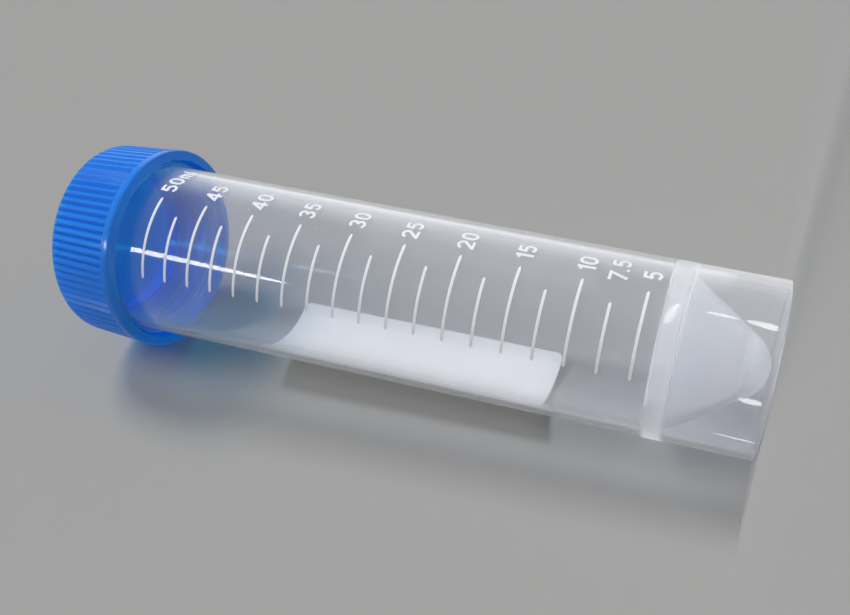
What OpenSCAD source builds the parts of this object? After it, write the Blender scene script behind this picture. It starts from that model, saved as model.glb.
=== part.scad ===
// 50 ml conical centrifuge tube, self-standing, with its ribbed screw cap.
// The tube stands on its skirt: +Z is up and the origin is the centre of the foot.
// Angles round the tube are measured from -Y, the side that the scale faces.

/* [Body] */
// Height of the body, from the bench to the collar under the thread
body_h = 104.8; // [96:0.2:112]
// Outer radius of the skirt at the foot
foot_r = 13.6; // [13:0.05:14.2]
// Outer radius of the body at the collar
shoulder_r = 14.75; // [14.3:0.05:15.4]
// Wall of the body and of the skirt
wall = 0.9; // [0.7:0.05:1.2]
// Rounding of the foot's two edges
foot_round = 0.25; // [0.1:0.05:0.3]

/* [Conical floor] */
// Half angle of the cone
cone_angle = 34.8; // [31:0.2:40]
// Outer radius of the rounded tip
tip_r = 5.7; // [4:0.1:7]
// Gap between the tip and the bench
tip_gap = 0.4; // [0.3:0.1:2]
// Wall of the cone
cone_wall = 1.05; // [0.8:0.05:1.4]
// Wall at the tip, where the moulding is thickest
tip_wall = 1.8; // [1:0.1:3]
// Fillet where the cone leaves the skirt
root_fillet = 0.45; // [0.2:0.05:0.8]

/* [Neck] */
// Height of the neck, from the foot of the collar to the lip
neck_h = 10.3; // [9:0.1:13]
// How far the collar stands out from the shoulder
collar_out = 0.65; // [0.3:0.05:0.9]
// Height of the collar
collar_h = 1.2; // [0.8:0.1:2]
// How far the neck stands out from the shoulder
neck_out = 0.1; // [0:0.05:0.2]
// Wall of the neck
neck_wall = 1; // [0.8:0.05:1.3]
// Rounding of the lip's two edges
lip_round = 0.3; // [0.1:0.05:0.35]

/* [Cap] */
// Height of the cap
cap_h = 12.8; // [12:0.1:14]
// Thickness of the cap's top
cap_top = 1.4; // [1:0.1:2]
// Room for the screw thread between the neck and the cap
thread_space = 0.85; // [0.6:0.05:1.2]
// How much wider the cap is below the thread, to pass the collar
entry_step = 0.3; // [0.2:0.05:0.5]
// Height of that wide entry
entry_h = 2.9; // [2.6:0.1:3.4]
// Wall behind the ribs at the top of the cap
cap_wall = 0.8; // [0.6:0.05:1.4]
// Draft of the cap's side
cap_draft = 3.3; // [1:0.1:4]
// Rounding of the cap's top edge
cap_round = 1.8; // [1:0.1:2.5]
// Number of grip ribs
rib_count = 80; // [40:1:96]
// Depth of the grooves between the ribs
rib_depth = 0.45; // [0.2:0.05:0.6]
// Width of a rib at its tip
rib_land = 0.36; // [0.2:0.02:0.5]
// Height of the plain bead round the cap's lower rim
bead_h = 1.5; // [1.2:0.1:2]
// How far the bead stands out from the ribs
bead_out = 0.15; // [0.1:0.05:0.5]
// Rounding of the bead's two edges
bead_round = 0.5; // [0.2:0.05:0.55]

/* [Seal] */
// Depth of the sealing ring that plugs the mouth
plug_h = 2.2; // [1.4:0.1:3]
// Wall of the sealing ring
plug_wall = 0.8; // [0.5:0.05:1.2]
// Clearance between the sealing ring and the mouth
plug_gap = 0.2; // [0.1:0.05:0.4]

/* [Scale] */
// Volume at the lowest mark, in millilitres
first_ml = 5; // [5:0.5:7.5]
// Height of the lowest mark above the bench
first_z = 18.9; // [18:0.1:24]
// Volume from one mark to the next, in millilitres
step_ml = 2.5; // [2.5:0.5:5]
// Highest volume on the scale, in millilitres
last_ml = 50; // [30:2.5:50]
// Width of a line
line_w = 0.45; // [0.3:0.05:0.8]
// Angle at which the lines start
line_start = -22.5; // [-30:0.5:-10]
// Angle at which the long lines end
long_end = 33; // [26:0.5:36]
// Angle at which the short lines end
short_end = 21; // [10:0.5:25]
// Thickness of the printed ink
ink_t = 0.04; // [0.02:0.01:0.08]

/* [Writing patch] */
// Height of the patch's lower edge above the bench
patch_z = 33.1; // [25:0.1:40]
// Length of the patch up the tube
patch_len = 49.7; // [30:0.1:56]
// Width of the patch round the tube
patch_w = 16.3; // [10:0.1:20]
// Direction that the patch faces
patch_angle = -126; // [-150:1:-100]
// Rounding of the patch's corners
patch_round = 1; // [0.5:0.1:2]

/* [Hidden] */
$fn = 96;

FRONT = -90;      // direction that the angles are measured from
OVER = 1;         // how far a cut runs past what it cuts
LONG_EVERY = 5;   // the lines at whole multiples of this volume are long
CAP_CLEAR = 1.5;  // bare tube between the highest line and the cap
ROUND_STEPS = 6;  // flats round the cap's top edge
GROOVE_GAP = 0.1; // how far the grooves end above the bead

// Heights
lip_z = body_h + neck_h;
top_z = lip_z + cap_top;
rim_z = top_z - cap_h;
bead_top_z = rim_z + bead_h;
entry_z = rim_z + entry_h;

// Body: outer and inner radius at height z
body_draft = atan((shoulder_r - foot_r) / body_h);
function body_r(z) = foot_r + z * tan(body_draft);
function bore_r(z) = body_r(z) - wall;

// Neck and mouth
neck_r = shoulder_r + neck_out;
collar_r = shoulder_r + collar_out;
mouth_r = neck_r - neck_wall;

// Cone: the outside runs through r = cone_a + slope * z, the inside is one wall in
slope = tan(cone_angle);
tip_z = tip_gap + tip_r;
cone_a = tip_r / cos(cone_angle) - slope * tip_z;
hollow_a = cone_a - cone_wall / cos(cone_angle);
hollow_z = (bore_r(0) - hollow_a) / (slope - tan(body_draft));

// Rounded end of the inside: it touches the inner cone and leaves the tip's wall below it
hollow_r = (tip_gap + tip_wall + hollow_a / slope) / (1 / sin(cone_angle) - 1);
hollow_tip_z = tip_gap + tip_wall + hollow_r;

// Fillet under the cone, tangent to the cone and to the skirt's inside
fillet_reach = root_fillet / cos(cone_angle) + root_fillet / cos(body_draft);
fillet_z = (bore_r(0) - cone_a - fillet_reach) / (slope - tan(body_draft));
fillet_x = cone_a + slope * fillet_z + root_fillet / cos(cone_angle);

// Cap
thread_r = neck_r + thread_space;
entry_r = thread_r + entry_step;
round_z = top_z - cap_round;
tip_top_r = thread_r + cap_wall + rib_depth;
function rib_r(z) = tip_top_r + (round_z - z) * tan(cap_draft);
bead_r = rib_r(bead_top_z) + bead_out;
round_x = rib_r(round_z) - cap_round / cos(cap_draft);
plug_r = mouth_r - plug_gap;
rib_pitch = 2 * PI * rib_r(bead_top_z) / rib_count;
groove_w = rib_pitch - rib_land;

// Scale: the height at which the body holds a volume, counted up from the lowest mark
bore_gain = 3 * tan(body_draft) / PI;
function fill_r(ml) = pow(pow(bore_r(first_z), 3) + 1000 * (ml - first_ml) * bore_gain, 1 / 3);
function fill_z(ml) = (fill_r(ml) - bore_r(0)) / tan(body_draft);
function fits(ml) = fill_z(ml) + line_w / 2 + CAP_CLEAR < rim_z;
volumes = [for (ml = [first_ml : step_ml : last_ml]) if (fits(ml)) ml];

module disc(x, z, r) {
    translate([x, z]) circle(r);
}

module right_half() {
    intersection() {
        children();
        translate([0, -OVER]) square([2 * bead_r, top_z + 2 * OVER]);
    }
}

// A ring's section from x0 out to x1 and from z0 up to z1, with its two outer corners rounded
module outer_rounded(x0, x1, z0, z1, r) {
    translate([x0, z0]) square([x1 - r - x0, z1 - z0]);
    translate([x0, z0 + r]) square([x1 - x0, z1 - z0 - 2 * r]);
    disc(x1 - r, z0 + r, r);
    disc(x1 - r, z1 - r, r);
}

// The wedge of material that rounding a corner takes away: sx and sz point out of the solid
module corner_cut(x, z, sx, sz, r) {
    difference() {
        translate([x, z])
            polygon([[-sx * r, sz * OVER], [sx * OVER, sz * OVER], [sx * OVER, -sz * r], [-sx * r, -sz * r]]);
        disc(x - sx * r, z - sz * r, r);
    }
}

module tube_outside() {
    polygon([[0, 0], [foot_r, 0], [shoulder_r, body_h], [neck_r, body_h], [neck_r, lip_z], [0, lip_z]]);
    outer_rounded(0, collar_r, body_h, body_h + collar_h, collar_h / 3);
}

// The space that the tube holds, open at the mouth
module tube_hollow() {
    right_half() disc(0, hollow_tip_z, hollow_r);
    polygon([
        [0, hollow_tip_z],
        [hollow_r * cos(cone_angle), hollow_tip_z - hollow_r * sin(cone_angle)],
        [bore_r(hollow_z), hollow_z],
        [bore_r(body_h), body_h],
        [mouth_r, body_h + collar_h],
        [mouth_r, lip_z + OVER],
        [0, lip_z + OVER]
    ]);
}

// The space under the cone, open at the foot
module skirt_hollow() {
    difference() {
        union() {
            polygon([
                [0, -OVER],
                [bore_r(-OVER), -OVER],
                [fillet_x + root_fillet * cos(body_draft), fillet_z - root_fillet * sin(body_draft)],
                [fillet_x - root_fillet * cos(cone_angle), fillet_z + root_fillet * sin(cone_angle)],
                [tip_r * cos(cone_angle), tip_z - tip_r * sin(cone_angle)],
                [0, tip_z - tip_r * sin(cone_angle)]
            ]);
            disc(fillet_x, fillet_z, root_fillet);
        }
        disc(0, tip_z, tip_r);
    }
}

module tube() {
    color([0.80, 0.83, 0.86, 0.55])
        rotate_extrude()
            difference() {
                tube_outside();
                tube_hollow();
                skirt_hollow();
                corner_cut(foot_r, 0, 1, -1, foot_round);
                corner_cut(bore_r(0), 0, -1, -1, foot_round);
                corner_cut(neck_r, lip_z, 1, 1, lip_round);
                corner_cut(mouth_r, lip_z, -1, 1, lip_round);
            }
}

module cap_outside() {
    turn = (90 - cap_draft) / ROUND_STEPS;
    polygon([
        [0, rim_z + bead_round],
        [rib_r(rim_z + bead_round), rim_z + bead_round],
        for (i = [0 : ROUND_STEPS])
            [round_x, round_z] + cap_round * [cos(cap_draft + i * turn), sin(cap_draft + i * turn)],
        [0, top_z]
    ]);
    outer_rounded(0, bead_r, rim_z, bead_top_z, bead_round);
}

module cap_hollow() {
    translate([0, rim_z - OVER]) square([entry_r, entry_h + OVER]);
    polygon([[0, entry_z], [entry_r, entry_z], [thread_r, entry_z + entry_step], [thread_r, lip_z], [0, lip_z]]);
}

module plug_ring() {
    plug_z = lip_z - plug_h;
    polygon([
        [plug_r - plug_wall, lip_z + cap_top / 2],
        [plug_r - plug_wall, plug_z],
        [plug_r - plug_wall / 2, plug_z],
        [plug_r, plug_z + plug_wall],
        [plug_r, lip_z + cap_top / 2]
    ]);
}

// One groove between two ribs, leaning in with the cap's draft
module rib_groove() {
    groove_z = bead_top_z + GROOVE_GAP;
    translate([rib_r(groove_z), 0, groove_z])
        rotate([0, -cap_draft, 0])
            linear_extrude(cap_h)
                polygon([
                    [-rib_depth, 0],
                    [0, groove_w / 2],
                    [OVER, groove_w / 2],
                    [OVER, -groove_w / 2],
                    [0, -groove_w / 2]
                ]);
}

module cap() {
    color([0.10, 0.38, 0.80])
        difference() {
            rotate_extrude() {
                difference() {
                    cap_outside();
                    cap_hollow();
                }
                plug_ring();
            }
            for (i = [0 : rib_count - 1])
                rotate(i * 360 / rib_count) rib_groove();
        }
}

// A band of ink on the body between two heights
module ink_section(z0, z1) {
    polygon([[body_r(z0), z0], [body_r(z0) + ink_t, z0], [body_r(z1) + ink_t, z1], [body_r(z1), z1]]);
}

module scale_line(ml) {
    line_end = ml % LONG_EVERY == 0 ? long_end : short_end;
    z = fill_z(ml);
    rotate(FRONT + line_start)
        rotate_extrude(angle = line_end - line_start)
            ink_section(z - line_w / 2, z + line_w / 2);
}

module scale_lines() {
    color([0.95, 0.95, 0.94])
        for (ml = volumes)
            scale_line(ml);
}

module patch_outline() {
    for (x = [-1, 1], y = [-1, 1])
        translate([x * (patch_w / 2 - patch_round), y * (patch_len / 2 - patch_round)]) circle(patch_round);
    square([patch_w - 2 * patch_round, patch_len], center = true);
    square([patch_w, patch_len - 2 * patch_round], center = true);
}

module writing_patch() {
    color([0.93, 0.93, 0.92])
        intersection() {
            rotate(FRONT + patch_angle - 90)
                rotate_extrude(angle = 180)
                    ink_section(patch_z - OVER, patch_z + patch_len + OVER);
            rotate(FRONT + patch_angle)
                translate([0, 0, patch_z + patch_len / 2])
                    rotate([90, 0, 90])
                        linear_extrude(2 * shoulder_r) patch_outline();
        }
}

tube();
cap();
scale_lines();
writing_patch();
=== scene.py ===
"""Looks of the 50 ml conical tube: clear skirted tube, white print and ribbed blue cap.

The tube stands on its skirt. Angles round it are measured from -Y, as in the part's source.
The camera is rolled, so that the tube is seen lying across the picture with its cap to the left.
"""
import math

import bmesh
import bpy
from mathutils import Matrix, Vector


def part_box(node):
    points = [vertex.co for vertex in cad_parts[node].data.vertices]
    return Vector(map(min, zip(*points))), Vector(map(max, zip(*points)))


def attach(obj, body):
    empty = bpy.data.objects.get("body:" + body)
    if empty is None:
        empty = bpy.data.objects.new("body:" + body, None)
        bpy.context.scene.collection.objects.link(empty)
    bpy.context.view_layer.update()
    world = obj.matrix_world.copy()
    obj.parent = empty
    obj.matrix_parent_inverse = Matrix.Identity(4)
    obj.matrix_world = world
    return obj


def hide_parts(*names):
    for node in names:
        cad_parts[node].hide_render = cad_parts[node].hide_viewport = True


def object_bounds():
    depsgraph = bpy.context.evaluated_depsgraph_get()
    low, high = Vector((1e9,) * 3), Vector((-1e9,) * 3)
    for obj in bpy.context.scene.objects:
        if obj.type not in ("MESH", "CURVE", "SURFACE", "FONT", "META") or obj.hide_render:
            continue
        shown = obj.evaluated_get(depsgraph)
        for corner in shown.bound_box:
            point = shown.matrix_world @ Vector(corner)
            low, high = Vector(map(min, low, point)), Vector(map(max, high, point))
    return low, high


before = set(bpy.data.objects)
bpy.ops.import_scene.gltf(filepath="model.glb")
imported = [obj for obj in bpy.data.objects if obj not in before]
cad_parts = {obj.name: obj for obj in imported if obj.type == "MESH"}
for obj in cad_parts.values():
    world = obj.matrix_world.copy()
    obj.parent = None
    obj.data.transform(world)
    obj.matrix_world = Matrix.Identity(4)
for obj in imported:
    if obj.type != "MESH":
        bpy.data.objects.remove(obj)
cad_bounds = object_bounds()

# A millimetre in metres, and a millilitre in cubic metres
MM = 0.001
ML = 1e-6

# The tube's outside, as in the part's source
BODY_H = 104.8 * MM
FOOT_R = 13.6 * MM
SHOULDER_R = 14.75 * MM
WALL = 0.9 * MM

# The printed scale, in millilitres, metres and degrees
FIRST_ML, STEP_ML, LAST_ML = 5.0, 2.5, 50.0
LONG_EVERY_ML = 5
FIRST_Z = 18.9 * MM
LINE_W = 0.45 * MM
LINE_START, LONG_END, SHORT_END = -22.5, 33.0, 21.0
NUMBERS = [5, 7.5] + list(range(10, 55, 5))
NUMBER_ANGLE = 46.0
NUMBER_H = 2.75 * MM
UNIT_ANGLE = 60.9

# Each line's steps, and the share of its width that is left at its round ends
LINE_STEPS = 40
LINE_END = 0.35

# The writing patch on the far side, and its steps across and up
PATCH_Z = 33.1 * MM
PATCH_LEN = 49.7 * MM
PATCH_W = 16.3 * MM
PATCH_ANGLE = -126.0
PATCH_ROUND = 1.0 * MM
PATCH_ACROSS, PATCH_UP = 72, 120

# Ink stands this far out of the wall, is keyed this far into it, and a stroke that crosses another
# stands this much further out
INK_OUT = 0.035 * MM
INK_IN = 0.03 * MM
INK_STEP = 0.003 * MM

# Numerals, in heights of a capital: width, width of the pen, gap between two, and the longest step
# along a stroke
GLYPH_W = 0.64
GLYPH_PEN = 0.165
GLYPH_GAP = 0.13
GLYPH_STEP = 0.12
# The cosine of half a corner's turn below which its mitre grows no longer
GLYPH_MITRE = 0.55

# Screw thread: the two walls it stands on, its crests, its pitch, and the ridge's width at the wall
NECK_R, NECK_CREST = 14.85 * MM, 15.40 * MM
CAP_BORE_R, CAP_CREST = 15.70 * MM, 15.20 * MM
THREAD_PITCH = 3.0 * MM
THREAD_W = 1.25 * MM
THREAD_SUNK = 0.03 * MM
THREAD_LOW_Z = 108.0 * MM
# Where the ridges start and end, over how much they fade there, how long their steps are and from
# which angle on their edges are sharp, all in degrees
NECK_TURNS = (0, 620)
CAP_TURNS = (150, 790)
THREAD_FADE = 25.0
THREAD_STEP = 3.0
SHARP_ANGLE = 30.0
# Shares of the ridge: the crest's width, and the height and width that are left at the ends
CREST_SHARE = 0.45
THREAD_END_H, THREAD_END_W = 0.02, 0.4


# ---------------------------------------------------------------- shapes

def body_r(z):
    return FOOT_R + (SHOULDER_R - FOOT_R) * z / BODY_H


def fill_z(ml):
    """Height at which the tapered bore holds ml, counted up from the lowest mark."""
    slope = (SHOULDER_R - FOOT_R) / BODY_H
    start = body_r(FIRST_Z) - WALL
    cube = start ** 3 + 3 * slope * (ml - FIRST_ML) * ML / math.pi
    return (cube ** (1 / 3) - (FOOT_R - WALL)) / slope


def on_body(angle, z, out=0.0):
    """A point on the body, angle in degrees from -Y towards +X, and out beyond its surface."""
    r = body_r(z) + out
    a = math.radians(angle)
    return Vector((r * math.sin(a), -r * math.cos(a), z))


def add_object(name, data):
    obj = bpy.data.objects.new(name, data)
    bpy.context.scene.collection.objects.link(obj)
    return obj


def add_mesh(name, verts, faces, smooth=False):
    mesh = bpy.data.meshes.new(name)
    mesh.from_pydata(verts, [], faces)
    mesh.validate()
    for poly in mesh.polygons:
        poly.use_smooth = smooth
    return add_object(name, mesh)


def add_solid(name, verts, faces, smooth=False):
    """A mesh of closed shells, with all faces turned outwards."""
    obj = add_mesh(name, verts, faces, smooth)
    bm = bmesh.new()
    bm.from_mesh(obj.data)
    bmesh.ops.recalc_face_normals(bm, faces=bm.faces)
    bm.to_mesh(obj.data)
    bm.free()
    return obj


def add_slab(columns, verts, faces):
    """Add a closed thin solid, made of columns of (inner, outer) point pairs, to verts and faces."""
    first = len(verts)
    rows = len(columns[0])
    last, top = len(columns) - 1, rows - 1

    def at(i, j, side):
        return first + (i * rows + j) * 2 + side

    verts += [p for column in columns for pair in column for p in pair]
    for i in range(last):
        for j in range(top):
            faces.append((at(i, j, 1), at(i + 1, j, 1), at(i + 1, j + 1, 1), at(i, j + 1, 1)))
            faces.append((at(i, j + 1, 0), at(i + 1, j + 1, 0), at(i + 1, j, 0), at(i, j, 0)))
    for i in range(last):
        faces.append((at(i, 0, 0), at(i + 1, 0, 0), at(i + 1, 0, 1), at(i, 0, 1)))
        faces.append((at(i, top, 1), at(i + 1, top, 1), at(i + 1, top, 0), at(i, top, 0)))
    for j in range(top):
        faces.append((at(0, j, 1), at(0, j + 1, 1), at(0, j + 1, 0), at(0, j, 0)))
        faces.append((at(last, j, 0), at(last, j + 1, 0), at(last, j + 1, 1), at(last, j, 1)))


def ink_pair(angle, z, out=INK_OUT):
    return (on_body(angle, z, -INK_IN), on_body(angle, z, out))


def make_scale_lines():
    verts, faces = [], []
    for n in range(round((LAST_ML - FIRST_ML) / STEP_ML) + 1):
        ml = FIRST_ML + n * STEP_ML
        z = fill_z(ml)
        sweep = (LONG_END if ml % LONG_EVERY_ML == 0 else SHORT_END) - LINE_START
        columns = []
        for i in range(LINE_STEPS + 1):
            t = i / LINE_STEPS
            from_end = min(t, 1 - t) * math.radians(sweep) * body_r(z)
            half = LINE_W / 2
            if from_end < half:
                half = math.sqrt(max(half ** 2 - (half - from_end) ** 2, (LINE_END * half) ** 2))
            angle = LINE_START + sweep * t
            columns.append([ink_pair(angle, z - half), ink_pair(angle, z + half)])
        add_slab(columns, verts, faces)
    return add_solid("scale_ink", verts, faces)


def make_patch():
    verts, faces, columns = [], [], []
    for i in range(PATCH_ACROSS + 1):
        # closer columns near the two long edges, where the corners are rounded
        x = PATCH_W / 2 * math.sin(math.pi * (i / PATCH_ACROSS - 0.5))
        over = abs(x) - (PATCH_W / 2 - PATCH_ROUND)
        trim = PATCH_ROUND - math.sqrt(max(PATCH_ROUND ** 2 - max(over, 0) ** 2, 0))
        low, high = PATCH_Z + trim, PATCH_Z + PATCH_LEN - trim
        column = []
        for j in range(PATCH_UP + 1):
            z = low + (high - low) * j / PATCH_UP
            column.append(ink_pair(PATCH_ANGLE + math.degrees(math.asin(x / body_r(z))), z))
        columns.append(column)
    add_slab(columns, verts, faces)
    return add_solid("patch_ink", verts, faces)


def arc(cx, cy, rx, ry, start, end):
    """Points on an ellipse's arc, angles in degrees."""
    steps = 14
    turns = [math.radians(start + (end - start) * i / steps) for i in range(steps + 1)]
    return [(cx + rx * math.cos(a), cy + ry * math.sin(a)) for a in turns]


def glyph(char):
    """Centre lines of a character's strokes, and its width, for a capital one unit high."""
    mid, rx = GLYPH_W / 2, (GLYPH_W - GLYPH_PEN) / 2
    low, top = GLYPH_PEN / 2, 1 - GLYPH_PEN / 2
    left, right = GLYPH_PEN / 2, GLYPH_W - GLYPH_PEN / 2
    if char == "0":
        upper = arc(mid, 0.62, rx, top - 0.62, 180, 0)
        lower = arc(mid, 0.38, rx, 0.38 - low, 0, -180)
        return [upper + lower + [(left, 0.62)]], GLYPH_W
    if char == "1":
        return [[(0.27, 0), (0.27, 1)], [(0.27, 0.90), (0.05, 0.74)]], 0.36
    if char == "2":
        neck = arc(mid, 0.67, rx, top - 0.67, 170, -25) + [(left + 0.03, low + 0.02)]
        return [neck, [(left - 0.04, low), (GLYPH_W, low)]], GLYPH_W
    if char == "3":
        upper = arc(mid, 0.71, rx * 0.92, top - 0.71, 155, -90)
        lower = arc(mid, 0.29, rx, 0.29 - low, 90, -155)
        return [upper, lower], GLYPH_W
    if char == "4":
        reach = GLYPH_W + 0.02
        return [[(0.46, 0), (0.46, 1)], [(0.43, 0.95), (left, 0.29), (reach, 0.29)]], reach
    if char == "5":
        flag = [(right, top), (0.15, top), (0.11, 0.49)]
        bowl = arc(mid, 0.34, rx, 0.34 - low, 145, -150)
        return [flag, bowl], GLYPH_W
    if char == "7":
        return [[(0, top), (right, top), (0.22, 0)]], GLYPH_W
    if char == "m":
        strokes = [[(left, 0), (left, 0.7)]]
        for foot in (left + 0.3, left + 0.6):
            strokes.append(arc(foot - 0.15, 0.47, 0.15, 0.17, 180, 0) + [(foot, 0)])
        return strokes, left + 0.6 + GLYPH_PEN / 2
    if char == "l":
        return [[(left, 0), (left, 1)]], GLYPH_PEN
    # the decimal point
    return [[(left, 0), (left, GLYPH_PEN)]], GLYPH_PEN


def fine(points):
    """The same line with points added, so that no step is longer than GLYPH_STEP."""
    out = [points[0]]
    for (x0, y0), (x1, y1) in zip(points, points[1:]):
        parts = max(1, math.ceil(math.hypot(x1 - x0, y1 - y0) / GLYPH_STEP))
        out += [(x0 + (x1 - x0) * k / parts, y0 + (y1 - y0) * k / parts) for k in range(1, parts + 1)]
    return out


def pen_sides(points):
    """The two edges of the pen's stroke along the points, with square ends and mitred corners."""
    sides = []
    for k, (x, y) in enumerate(points):
        before, after = points[max(k - 1, 0)], points[min(k + 1, len(points) - 1)]
        a = Vector((x - before[0], y - before[1]))
        b = Vector((after[0] - x, after[1] - y))
        a = (a if a.length > 0 else b).normalized()
        b = (b if b.length > 0 else a).normalized()
        along = (a + b).normalized()
        reach = GLYPH_PEN / 2 / max(along.dot(a), GLYPH_MITRE)
        across = Vector((-along.y, along.x)) * reach
        sides.append(((x + across.x, y + across.y), (x - across.x, y - across.y)))
    return sides


def write(text, height, angle, z, verts, faces):
    """Plain numerals of even stroke, wrapped round the body and centred on angle and z."""
    widths = [glyph(c)[1] for c in text]
    x = -(sum(widths) + GLYPH_GAP * (len(text) - 1)) / 2
    for char, width in zip(text, widths):
        for order, stroke in enumerate(glyph(char)[0]):
            columns = []
            for pair in pen_sides(fine(stroke)):
                column = []
                for px, py in pair:
                    turn = angle + math.degrees((x + px) * height / body_r(z))
                    level = z + (py - 0.5) * height
                    column.append(ink_pair(turn, level, INK_OUT + order * INK_STEP))
                columns.append(column)
            add_slab(columns, verts, faces)
        x += width + GLYPH_GAP


def make_numbers():
    verts, faces = [], []
    for ml in NUMBERS:
        write("%g" % ml, NUMBER_H, NUMBER_ANGLE, fill_z(ml), verts, faces)
    write("ml", NUMBER_H, UNIT_ANGLE, fill_z(LAST_ML), verts, faces)
    return add_solid("scale_numbers", verts, faces)


def thread(name, root_r, crest_r, low_z, turns):
    """A screw thread's ridge on a wall of radius root_r, from the first to the second of turns."""
    start, end = turns
    steps = round((end - start) / THREAD_STEP)
    sunk = root_r + math.copysign(THREAD_SUNK, root_r - crest_r)
    verts, faces = [], []
    for i in range(steps + 1):
        turn = start + (end - start) * i / steps
        a = math.radians(turn)
        z = low_z + THREAD_PITCH * turn / 360
        fade = min(1.0, (turn - start) / THREAD_FADE, (end - turn) / THREAD_FADE)
        fade = max(fade * fade * (3 - 2 * fade), THREAD_END_H)
        half = THREAD_W / 2 * max(fade, THREAD_END_W)
        crest = root_r + (crest_r - root_r) * fade
        for r, side in ((sunk, -1), (crest, -CREST_SHARE), (crest, CREST_SHARE), (sunk, 1)):
            verts.append((r * math.sin(a), -r * math.cos(a), z + side * half))
    for i in range(steps):
        for k in range(4):
            n = (k + 1) % 4
            faces.append((i * 4 + k, i * 4 + n, i * 4 + 4 + n, i * 4 + 4 + k))
    faces.append((0, 1, 2, 3))
    faces.append(tuple(steps * 4 + k for k in (3, 2, 1, 0)))
    obj = add_solid(name, verts, faces, smooth=True)
    obj.data.set_sharp_from_angle(angle=math.radians(SHARP_ANGLE))
    return obj


# ---------------------------------------------------------------- nodes

def feed(tree, socket, value):
    """Link a socket to another node's output, or give it a plain value."""
    if isinstance(value, bpy.types.NodeSocket):
        tree.links.new(value, socket)
    else:
        socket.default_value = value


def add_node(tree, kind, inputs=None):
    """A node, with its inputs fed by their names or numbers."""
    node = tree.nodes.new(kind)
    for key, value in (inputs or {}).items():
        feed(tree, node.inputs[key], value)
    return node


def calculate(tree, operation, *values, clamp=False):
    """The result of a Math node on sockets or plain numbers."""
    node = add_node(tree, "ShaderNodeMath", dict(enumerate(values)))
    node.operation = operation
    node.use_clamp = clamp
    return node.outputs[0]


def highest(tree, result, *others):
    for other in others:
        result = calculate(tree, "MAXIMUM", result, other)
    return result


def mix_shaders(tree, share, first, second):
    """The first shader, with a share of the second in its place."""
    inputs = {"Fac": share, 1: first.outputs[0], 2: second.outputs[0]}
    return add_node(tree, "ShaderNodeMixShader", inputs)


def noise(tree, scale, detail, stretch=(1, 1, 1)):
    """Noise in the object's own coordinates, drawn out along an axis whose stretch is small."""
    coords = add_node(tree, "ShaderNodeTexCoord")
    inputs = {"Scale": stretch, "Vector": coords.outputs["Object"]}
    mapping = add_node(tree, "ShaderNodeMapping", inputs)
    inputs = {"Scale": scale, "Detail": detail, "Vector": mapping.outputs["Vector"]}
    return add_node(tree, "ShaderNodeTexNoise", inputs).outputs["Fac"]


def ramp(tree, source, low, high, start=0.3, end=0.7):
    """A value that goes from low to high as source goes from start to end."""
    inputs = {"From Min": start, "From Max": end, "To Min": low, "To Max": high, "Value": source}
    return add_node(tree, "ShaderNodeMapRange", inputs).outputs["Result"]


def colour_ramp(tree, source, colours, start=0.3, end=0.7):
    """A colour that goes from the first to the second as source goes from start to end."""
    node = add_node(tree, "ShaderNodeValToRGB", {"Fac": source})
    for stop, place, colour in zip(node.color_ramp.elements, (start, end), colours):
        stop.position = place
        stop.color = (*colour, 1)
    return node.outputs["Color"]


def bump(tree, source, shader, strength, distance):
    inputs = {"Strength": strength, "Distance": distance, "Height": source}
    node = add_node(tree, "ShaderNodeBump", inputs)
    feed(tree, shader.inputs["Normal"], node.outputs["Normal"])


def mask(tree, source, start, end, soft):
    """1 where source lies between start and end, fading over soft at both."""
    rise = ramp(tree, source, 0.0, 1.0, start - soft / 2, start + soft / 2)
    fall = ramp(tree, source, 1.0, 0.0, end - soft / 2, end + soft / 2)
    return calculate(tree, "MULTIPLY", rise, fall)


# ---------------------------------------------------------------- materials

# Colours, in pairs between which a cloudy noise moves
CLEAR_COLOURS = ((0.92, 0.925, 0.95), (0.95, 0.955, 0.975))
BLUE_COLOURS = ((0.018, 0.232, 0.760), (0.025, 0.260, 0.825))
BLUE_GLOW_COLOURS = ((0.010, 0.450, 0.800), (0.014, 0.490, 0.860))
LINE_COLOURS = ((0.84, 0.86, 0.91), (0.88, 0.90, 0.95))
PATCH_COLOURS = ((0.945, 0.94, 0.92), (0.965, 0.96, 0.94))
CLEAR_GLOW_COLOUR = (0.93, 0.93, 0.94)

# The colour of the lamps' light behind the clear wall, passed square on and edge on, where the first
# holds up to this share of the way to edge on, and behind the cap
CLEAR_PASSES = ((0.888, 0.897, 0.916), (0.25, 0.26, 0.29))
CLEAR_PASSES_TO = 0.40
BLUE_PASSES = (0.01, 0.60, 0.80)

# The thick root of the cone, and the heights between which the wall clears towards the neck
ROOT_LOW, ROOT_HIGH, ROOT_SOFT = 13.5 * MM, 16.3 * MM, 0.8 * MM
CLEARING_LOW, CLEARING_HIGH = 89.0 * MM, 96.0 * MM
# The milky tip's top and how softly it ends, how softly other zones of the moulding end, and a
# height and radius below them all
TIP_TOP, TIP_SOFT = 3.8 * MM, 1.6 * MM
ZONE_SOFT = 0.2 * MM
UNDER_ALL = -1 * MM
# The cone is what lies more than this many walls inside the foot's radius
CONE_INSIDE = 1.1

# How milky the wall is, low down and at the neck
MILK_WALL, MILK_NECK = 0.058, 0.015
# What the cone's root, all that is below its top, the cone and the tip add to that
MILK_ROOT, MILK_SKIRT, MILK_CONE, MILK_TIP = 0.17, 0.035, 0.24, 0.60
# What is added edge on, everywhere and then below the root's top, and how narrow the edge is
MILK_EDGE, MILK_LOW_EDGE = 0.75, 0.65
EDGE_POWER = 3.0

# How much of the light on the far side the cap's plastic, the cone, its tip and its root let
# through, the last of them seen square on and edge on
GLOW_CAP, GLOW_CONE, GLOW_TIP, GLOW_ROOT = 0.19, 0.07, 0.42, (0.12, 0.9)


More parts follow.
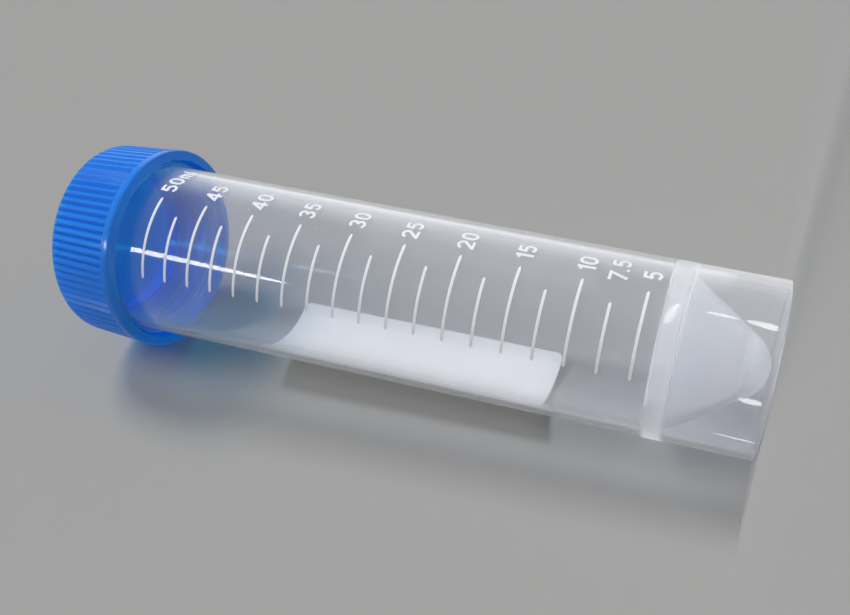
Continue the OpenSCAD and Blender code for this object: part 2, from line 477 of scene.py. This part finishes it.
def new_material(name):
    mat = bpy.data.materials.new(name)
    mat.use_nodes = True
    return mat, mat.node_tree, mat.node_tree.nodes["Principled BSDF"]


def let_lamps_through(tree, body, passes):
    """Show the body, but let the lamps' light pass straight through it, coloured by passes."""
    path = add_node(tree, "ShaderNodeLightPath")
    pane = add_node(tree, "ShaderNodeBsdfTransparent", {"Color": passes})
    whole = mix_shaders(tree, path.outputs["Is Shadow Ray"], body, pane)
    feed(tree, tree.nodes["Material Output"].inputs["Surface"], whole.outputs[0])


def moulding_zones(tree):
    """Height, and masks of the cone's root, of all that is below its top, of the cone and its tip."""
    coords = add_node(tree, "ShaderNodeTexCoord")
    place = add_node(tree, "ShaderNodeSeparateXYZ", {"Vector": coords.outputs["Object"]}).outputs
    flat = add_node(tree, "ShaderNodeCombineXYZ", {"X": place["X"], "Y": place["Y"]})
    radius = add_node(tree, "ShaderNodeVectorMath", {0: flat.outputs[0]})
    radius.operation = "LENGTH"
    height = place["Z"]
    root = mask(tree, height, ROOT_LOW, ROOT_HIGH, ROOT_SOFT)
    low = mask(tree, height, UNDER_ALL, ROOT_HIGH, ZONE_SOFT)
    within = FOOT_R - CONE_INSIDE * WALL
    inside = mask(tree, radius.outputs["Value"], UNDER_ALL, within, ZONE_SOFT)
    cone = calculate(tree, "MULTIPLY", low, inside)
    tip = calculate(tree, "MULTIPLY", mask(tree, height, UNDER_ALL, TIP_TOP, TIP_SOFT), cone)
    return height, root, low, cone, tip


def clear_plastic():
    """Polypropylene: clear in the thin wall, milky in the cone and whiter in its root and tip."""
    mat, tree, shader = new_material("clear_polypropylene")
    shader.inputs["IOR"].default_value = 1.49
    cloud = noise(tree, scale=90.0, detail=4.0)
    flow = noise(tree, scale=60.0, detail=3.0, stretch=(1, 1, 0.12))
    feed(tree, shader.inputs["Base Color"], colour_ramp(tree, cloud, CLEAR_COLOURS))
    feed(tree, shader.inputs["Roughness"], ramp(tree, cloud, low=0.035, high=0.075))
    bump(tree, flow, shader, strength=0.008, distance=0.4 * MM)

    height, root, low, cone, tip = moulding_zones(tree)
    milk = ramp(tree, height, MILK_WALL, MILK_NECK, CLEARING_LOW, CLEARING_HIGH)
    for zone, more in ((root, MILK_ROOT), (low, MILK_SKIRT), (cone, MILK_CONE), (tip, MILK_TIP)):
        milk = calculate(tree, "MULTIPLY_ADD", zone, more, milk)

    # seen edge on, the wall is thick and turns whiter
    facing = add_node(tree, "ShaderNodeLayerWeight", {"Blend": 0.5}).outputs["Facing"]
    edge = calculate(tree, "POWER", facing, EDGE_POWER)
    edge_milk = calculate(tree, "MULTIPLY_ADD", low, MILK_LOW_EDGE, MILK_EDGE)
    milk = calculate(tree, "MULTIPLY_ADD", edge, edge_milk, milk)
    clear = calculate(tree, "SUBTRACT", 1.0, milk, clamp=True)
    feed(tree, shader.inputs["Transmission Weight"], clear)

    # thick plastic passes light on from its far side
    share = calculate(tree, "MULTIPLY", root, ramp(tree, facing, *GLOW_ROOT, 0.0, 1.0))
    for zone, more in ((tip, GLOW_TIP), (cone, GLOW_CONE)):
        share = calculate(tree, "MULTIPLY_ADD", zone, more, share)
    glow = add_node(tree, "ShaderNodeBsdfTranslucent", {"Color": (*CLEAR_GLOW_COLOUR, 1)})
    body = mix_shaders(tree, share, shader, glow)
    let_lamps_through(tree, body, colour_ramp(tree, facing, CLEAR_PASSES, CLEAR_PASSES_TO, 1.0))
    return mat


def blue_plastic():
    """Polyethylene that some light goes into and through."""
    mat, tree, shader = new_material("blue_polyethylene")
    shader.inputs["IOR"].default_value = 1.51
    shader.inputs["Subsurface Weight"].default_value = 0.3
    shader.inputs["Subsurface Radius"].default_value = (0.25, 0.75, 1.0)
    shader.inputs["Subsurface Scale"].default_value = 2.5 * MM
    grain = noise(tree, scale=900.0, detail=4.0)
    cloud = noise(tree, scale=70.0, detail=3.0)
    feed(tree, shader.inputs["Base Color"], colour_ramp(tree, cloud, BLUE_COLOURS))
    feed(tree, shader.inputs["Roughness"], ramp(tree, grain, low=0.14, high=0.18))
    bump(tree, grain, shader, strength=0.03, distance=0.03 * MM)
    inputs = {"Color": colour_ramp(tree, cloud, BLUE_GLOW_COLOURS)}
    glow = add_node(tree, "ShaderNodeBsdfTranslucent", inputs)
    let_lamps_through(tree, mix_shaders(tree, GLOW_CAP, shader, glow), (*BLUE_PASSES, 1))
    return mat


def white_ink(name, colours):
    mat, tree, shader = new_material(name)
    grain = noise(tree, scale=1500.0, detail=3.0)
    cloud = noise(tree, scale=120.0, detail=4.0)
    feed(tree, shader.inputs["Base Color"], colour_ramp(tree, cloud, colours))
    feed(tree, shader.inputs["Roughness"], ramp(tree, grain, low=0.45, high=0.65))
    bump(tree, grain, shader, strength=0.2, distance=0.03 * MM)
    return mat


# ---------------------------------------------------------------- stage and light

# The stage's colour as the camera sees it, and how much of the light it sends back to the object
STAGE_COLOUR = (0.368, 0.367, 0.362)
BOUNCE = 0.40
# Light that the floor sends up onto the bench
FLOOR_BOUNCE = 0.105
# The world's own soft light on all surfaces
WORLD_STRENGTH = 0.15
WORLD_COLOUR = (0.93, 0.97, 1.0)
# What the tube mirrors and bends into view from beyond the stage: cool grey, with a soft window's
# light in one direction, whole within the first angle and gone at the second
MIRRORED_COLOUR = (0.285, 0.335, 0.385)
WINDOW_TOWARD = (0.80, 0.52, 0.30)
WINDOW_WHOLE, WINDOW_GONE = 8.0, 42.0
WINDOW_STRENGTH = 0.82
WINDOW_COLOUR = (1.0, 0.98, 0.97)
# Sun lamps: name, direction towards the lamp, strength, spread in degrees and colour
SUNS = (
    ("key", (0.79, -0.29, 0.54), 1.75, 18.0, (1.0, 0.995, 0.995)),
    ("fill", (0.36, -0.76, 0.54), 1.45, 36.0, (1.0, 0.995, 0.995)),
    ("back", (-0.50, 0.70, 0.51), 1.35, 40.0, (0.99, 0.995, 1.0)),
)

# Half a side of the floor, in metres
FLOOR_HALF = 3.0
# The bench that the tube leans on: a plane that touches the skirt's foot and the cap's bead. Its
# angle round the tube, half its width, its reach upwards, and where it touches the bead, above the
# cap's lower end
BENCH_ANGLE = -132.0
BENCH_HALF, BENCH_REACH = 0.8, 0.8
BEAD_TOUCH = 0.75 * MM


def light_on(normal):
    """Light that falls on a surface facing normal, where 1 shows a colour as it is written."""
    total = WORLD_STRENGTH
    for _, toward, strength, _, _ in SUNS:
        total += strength * max(Vector(toward).normalized().dot(normal), 0) / math.pi
    return total


def stage_material(name, normal, one_sided):
    """Matt board that shows the stage's colour, and sends its bounce of light back to the object.

    One-sided board is seen from its front only, and keeps no light from the object.
    """
    mat, tree, shader = new_material(name)
    light = light_on(normal) + (FLOOR_BOUNCE if one_sided else 0)
    path = add_node(tree, "ShaderNodeLightPath").outputs
    seen = highest(tree, path["Is Camera Ray"], path["Is Glossy Ray"], path["Is Transmission Ray"])
    colour = tree.nodes.new("ShaderNodeMix")
    colour.data_type = "RGBA"
    feed(tree, colour.inputs["Factor"], seen)
    feed(tree, colour.inputs["A"], (BOUNCE, BOUNCE, BOUNCE, 1))
    feed(tree, colour.inputs["B"], (*[c / light for c in STAGE_COLOUR], 1))
    feed(tree, shader.inputs["Base Color"], colour.outputs["Result"])
    shader.inputs["Roughness"].default_value = 0.9
    shader.inputs["Specular IOR Level"].default_value = 0.0
    if one_sided:
        behind = add_node(tree, "ShaderNodeNewGeometry").outputs["Backfacing"]
        front = calculate(tree, "SUBTRACT", seen, behind, clamp=True)
        board = mix_shaders(tree, front, add_node(tree, "ShaderNodeBsdfTransparent"), shader)
        feed(tree, tree.nodes["Material Output"].inputs["Surface"], board.outputs[0])
    return mat


def make_stage():
    side = FLOOR_HALF
    corners = [(-side, -side, 0), (side, -side, 0), (side, side, 0), (-side, side, 0)]
    floor = add_mesh("floor", corners, [(0, 1, 2, 3)])
    floor.data.materials.append(stage_material("floor_board", Vector((0, 0, 1)), False))

    out = on_body(BENCH_ANGLE, 0).normalized()
    across = out.cross(Vector((0, 0, 1)))
    # the cap's bead is the widest place of the whole part
    bead_r = cad_bounds[1][0]
    bead_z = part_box("cap")[0].z + BEAD_TOUCH
    foot, bead = out * FOOT_R, out * bead_r + Vector((0, 0, bead_z))
    up = (bead - foot).normalized()
    near, far = foot - across * BENCH_HALF, foot + across * BENCH_HALF
    corners = [near, far, far + up * BENCH_REACH, near + up * BENCH_REACH]
    bench = add_mesh("bench", corners, [(0, 1, 2, 3)])
    normal = across.cross(up)
    if normal.dot(out) > 0:
        bench.data.flip_normals()
        normal = -normal
    bench.data.materials.append(stage_material("bench_board", normal, True))


def background(tree, colour, strength=1.0):
    return add_node(tree, "ShaderNodeBackground", {"Color": (*colour, 1), "Strength": strength})


def make_world():
    world = bpy.data.worlds.new("studio")
    bpy.context.scene.world = world
    world.use_nodes = True
    tree = world.node_tree
    tree.nodes.clear()
    coords = add_node(tree, "ShaderNodeTexCoord")
    inputs = {0: coords.outputs["Generated"], 1: Vector(WINDOW_TOWARD).normalized()}
    toward = add_node(tree, "ShaderNodeVectorMath", inputs)
    toward.operation = "DOT_PRODUCT"
    gone, whole = (math.cos(math.radians(a)) for a in (WINDOW_GONE, WINDOW_WHOLE))
    inputs = {"From Min": gone, "From Max": whole, "To Max": WINDOW_STRENGTH}
    fade = add_node(tree, "ShaderNodeMapRange", inputs)
    fade.interpolation_type = "SMOOTHSTEP"
    feed(tree, fade.inputs["Value"], toward.outputs["Value"])
    window = background(tree, WINDOW_COLOUR, fade.outputs["Result"])
    inputs = {0: background(tree, MIRRORED_COLOUR).outputs[0], 1: window.outputs[0]}
    room = add_node(tree, "ShaderNodeAddShader", inputs)

    path = add_node(tree, "ShaderNodeLightPath").outputs
    mirrored = highest(tree, path["Is Glossy Ray"], path["Is Transmission Ray"])
    light = background(tree, WORLD_COLOUR, WORLD_STRENGTH)
    unseen = mix_shaders(tree, mirrored, light, room)
    sky = mix_shaders(tree, path["Is Camera Ray"], unseen, background(tree, STAGE_COLOUR))
    add_node(tree, "ShaderNodeOutputWorld", {"Surface": sky.outputs[0]})


def make_suns():
    for name, toward, strength, spread, colour in SUNS:
        data = bpy.data.lights.new(name, "SUN")
        data.energy = strength
        data.angle = math.radians(spread)
        data.color = colour
        sun = add_object(name, data)
        sun.matrix_world = Vector(toward).to_track_quat("Z", "Y").to_matrix().to_4x4()
        sun.visible_glossy = False
        sun.visible_transmission = False


# ---------------------------------------------------------------- camera and streaks

# The camera's place, how it is turned about X, Y and Z in degrees, its lens and its sensor in
# millimetres, and how far the picture is shifted
CAMERA_PLACE = Vector((0, -135.582 * MM, 7.221 * MM))
CAMERA_TILT = (2.815, 16.115, 12.300)
CAMERA_LENS, CAMERA_SENSOR = 36.89, 36.0
CAMERA_SHIFT = (-0.0497, 0.0514)
CAMERA_NEAR = 5.0 * MM

# Narrow lamps that draw the bright streaks on the wall: the streak's two ends on the body, as angle
# and height in millimetres, the lamp's distance, its width in metres and how bright it is
STREAKS = (
    ("long_streak", (-4.0, 121.0), (-6.6, 70.0), 0.60, 0.050, 18.0),
    ("root_glint", (28.5, 14.0), (14.5, 15.0), 0.040, 0.0016, 8.0),
    ("skirt_glint_high", (26.8, 10.3), (26.2, 6.0), 0.030, 0.0022, 8.0),
    ("skirt_glint_low", (26.2, 5.0), (24.0, -1.4), 0.016, 0.0028, 10.0),
    ("skirt_glint_near", (-19.4, 4.0), (-20.0, 0.2), 0.016, 0.0026, 10.0),
    ("skirt_line", (-47.2, 6.4), (-48.6, -0.4), 0.012, 0.0007, 7.0),
)


def mirror_point(place, distance):
    """Where a lamp stands for the camera to see it mirrored at that place on the body."""
    normal = Vector((place.x, place.y, 0)).normalized()
    toward = (place - CAMERA_PLACE).normalized()
    return place + (toward - 2 * toward.dot(normal) * normal) * distance


def make_streaks():
    for name, *ends, distance, width, bright in STREAKS:
        places = [on_body(angle, z * MM) for angle, z in ends]
        a, b = (mirror_point(place, distance) for place in places)
        centre = (a + b) / 2
        along = (b - a).normalized()
        toward = (places[0] + places[1]) / 2 - centre
        back = -(toward - toward.dot(along) * along).normalized()
        side = back.cross(along)
        data = bpy.data.lights.new(name, "AREA")
        data.shape = "ELLIPSE"
        data.size = (b - a).length
        data.size_y = width
        data.energy = bright * math.pi * data.size * width * math.pi / 4
        lamp = add_object(name, data)
        axes = Matrix((along, side, back)).transposed()
        lamp.matrix_world = Matrix.Translation(centre) @ axes.to_4x4()
        lamp.visible_transmission = False
        lamp.visible_diffuse = False


def make_camera():
    data = bpy.data.cameras.new("camera")
    data.sensor_width = CAMERA_SENSOR
    data.lens = CAMERA_LENS
    data.shift_x, data.shift_y = CAMERA_SHIFT
    data.clip_start = CAMERA_NEAR
    camera = add_object("camera", data)
    turn = Matrix.Identity(3)
    for axis, angle in zip("XYZ", CAMERA_TILT):
        turn = Matrix.Rotation(math.radians(angle), 3, axis) @ turn
    # rows: the camera's right, down and forward when the tube lies square across the picture
    square = Matrix(((0, 0, -1), (-1, 0, 0), (0, 1, 0)))
    right, down, forward = turn @ square
    axes = Matrix((right, -down, -forward)).transposed()
    camera.matrix_world = Matrix.Translation(CAMERA_PLACE) @ axes.to_4x4()
    bpy.context.scene.camera = camera


# ---------------------------------------------------------------- assembly

def dress(obj, material):
    obj.data.materials.clear()
    obj.data.materials.append(material)


clear, blue = clear_plastic(), blue_plastic()
line_white = white_ink("line_white", LINE_COLOURS)
patch_white = white_ink("patch_white", PATCH_COLOURS)

dress(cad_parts["tube"], clear)
dress(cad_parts["cap"], blue)

scale_ink = make_scale_lines()
patch_ink = make_patch()
numbers = make_numbers()
for piece, material in ((scale_ink, line_white), (patch_ink, patch_white), (numbers, line_white)):
    dress(piece, material)
    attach(piece, "tube")
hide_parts("scale_lines")
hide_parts("writing_patch")

neck_thread = thread("neck_thread", NECK_R, NECK_CREST, THREAD_LOW_Z, NECK_TURNS)
cap_thread = thread("cap_thread", CAP_BORE_R, CAP_CREST, THREAD_LOW_Z - THREAD_PITCH / 2, CAP_TURNS)
threads = (
    (neck_thread, "tube", "clear_plastic", clear),
    (cap_thread, "cap", "blue_plastic", blue),
)
for piece, body, slot, material in threads:
    dress(piece, material)
    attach(piece, body)

make_stage()
make_world()
make_suns()
make_streaks()
make_camera()

bpy.context.scene.view_settings.view_transform = "Standard"
